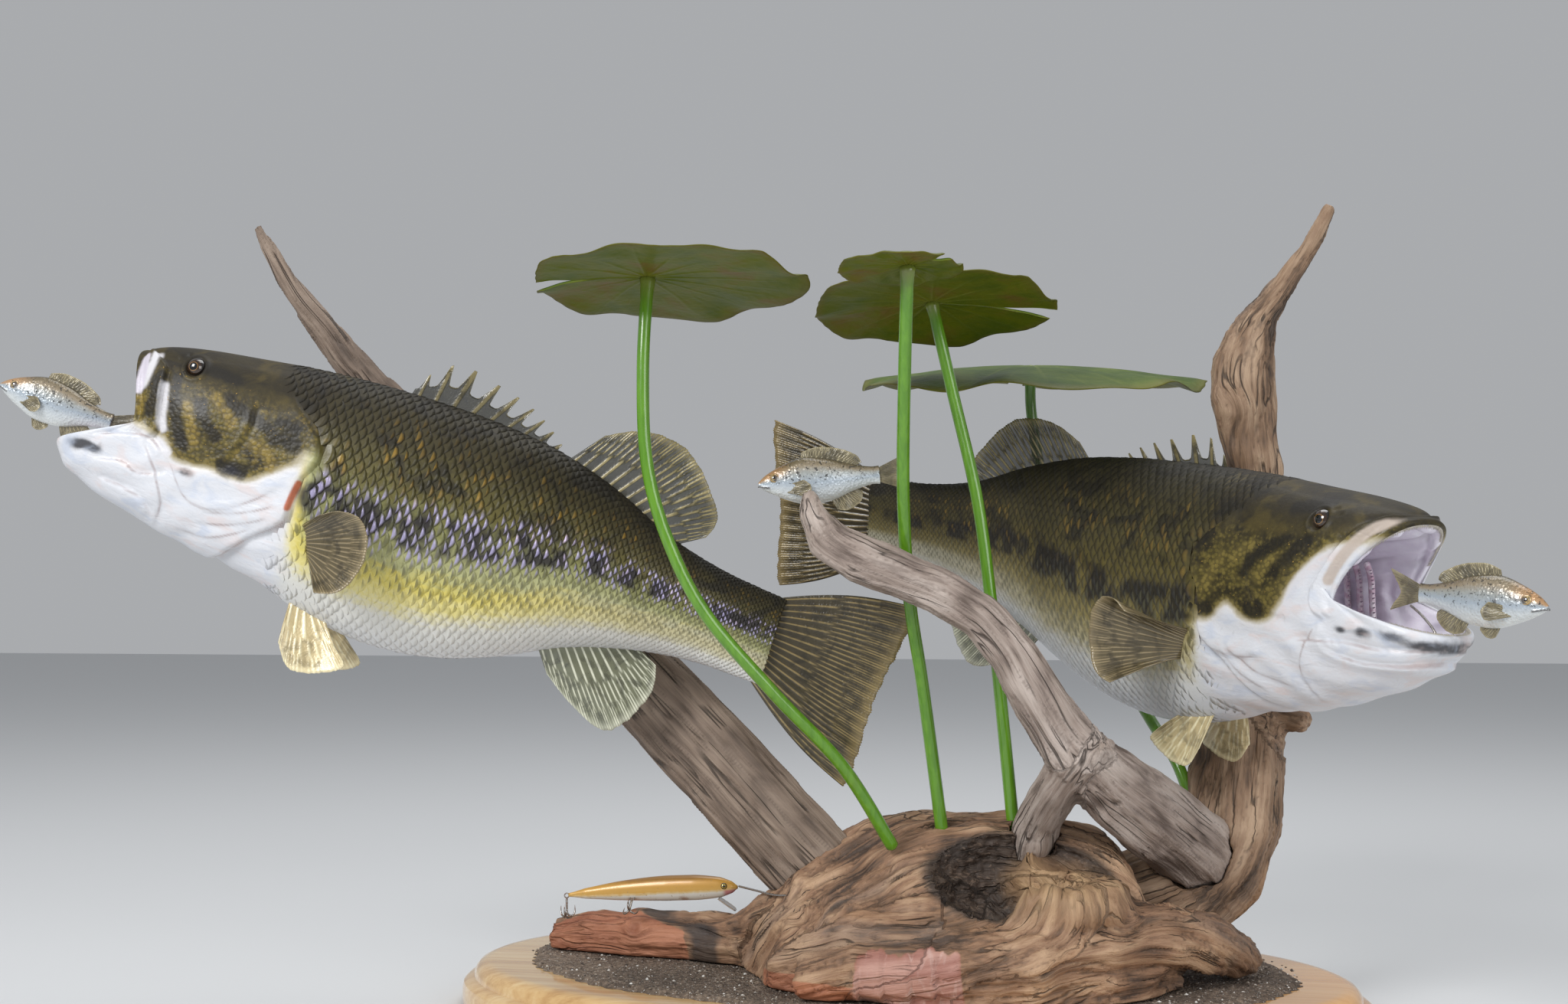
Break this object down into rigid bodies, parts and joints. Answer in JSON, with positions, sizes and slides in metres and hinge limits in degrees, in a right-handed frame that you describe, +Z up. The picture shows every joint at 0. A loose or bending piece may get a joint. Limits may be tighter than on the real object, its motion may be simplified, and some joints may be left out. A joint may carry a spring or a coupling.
{
  "type": "mounted largemouth bass",
  "caption": "Taxidermy display: mounted largemouth bass with open mouths chasing bait fish over driftwood and lily pads, on an oval wooden base.",
  "frame": {"origin": "centre of the oval board's flat underside", "axes": "+X along the board towards the right bass's side, +Y to the board's back edge, +Z up; the front faces -Y"},
  "size_m": [0.913, 0.452, 0.5283],
  "materials": {
    "board_wood": "honey lacquered pine, satin",
    "sand": "dark grit with pale grains, matt",
    "driftwood": "weathered bare driftwood, matt",
    "lily_pad": "painted moulded leaf, satin",
    "lily_stem": "lime green, glossy",
    "bass_skin": "painted and varnished fish skin, glossy",
    "jaw_skin": "painted white throat and jaw, glossy",
    "fin": "translucent rayed membrane, varnished",
    "tongue": "pale pink, glossy",
    "eye": "glass eye, polished",
    "bait_skin": "silver blue painted, glossy",
    "lure_paint": "gold back, white belly, glossy",
    "lure_lip": "clear amber plastic",
    "hook_metal": "rusty thin wire"
  },
  "bodies": {
    "root": {"base_board": "board_wood", "base_ground": "sand", "driftwood_root": "driftwood", "driftwood_trunk": "driftwood", "driftwood_fork": "driftwood", "driftwood_plank": "driftwood", "lily_pad_1": "lily_pad", "lily_pad_2": "lily_pad", "lily_pad_3": "lily_pad", "lily_pad_4": "lily_pad", "lily_stem_1": "lily_stem", "lily_stem_2": "lily_stem", "lily_stem_3": "lily_stem", "lily_stem_4": "lily_stem", "bass_head": "bass_skin", "bass_lower_jaw": "jaw_skin", "bass_maxilla_left": "bass_skin", "bass_maxilla_right": "bass_skin", "bass_gill_cover_left": "bass_skin", "bass_gill_cover_right": "bass_skin", "bass_eye_left": "eye", "bass_eye_right": "eye", "bass_trunk": "bass_skin", "bass_tail_stalk": "bass_skin", "bass_tongue": "tongue", "bass_tail_fin": "fin", "bass_spiny_dorsal_fin": "fin", "bass_soft_dorsal_fin": "fin", "bass_anal_fin": "fin", "bass_pectoral_fin_left": "fin", "bass_pectoral_fin_right": "fin", "bass_pelvic_fin_left": "fin", "bass_pelvic_fin_right": "fin", "second_bass": "bass_skin", "bait_fish_left": "bait_skin", "bait_fish_middle": "bait_skin", "bait_fish_right": "bait_skin", "bait_wire_left": "hook_metal", "bait_wire_right": "hook_metal", "lure_body": "lure_paint", "lure_lip": "lure_lip", "lure_hook_front": "hook_metal", "lure_hook_rear": "hook_metal", "lure_leader": "hook_metal"}
  },
  "joints": []
}
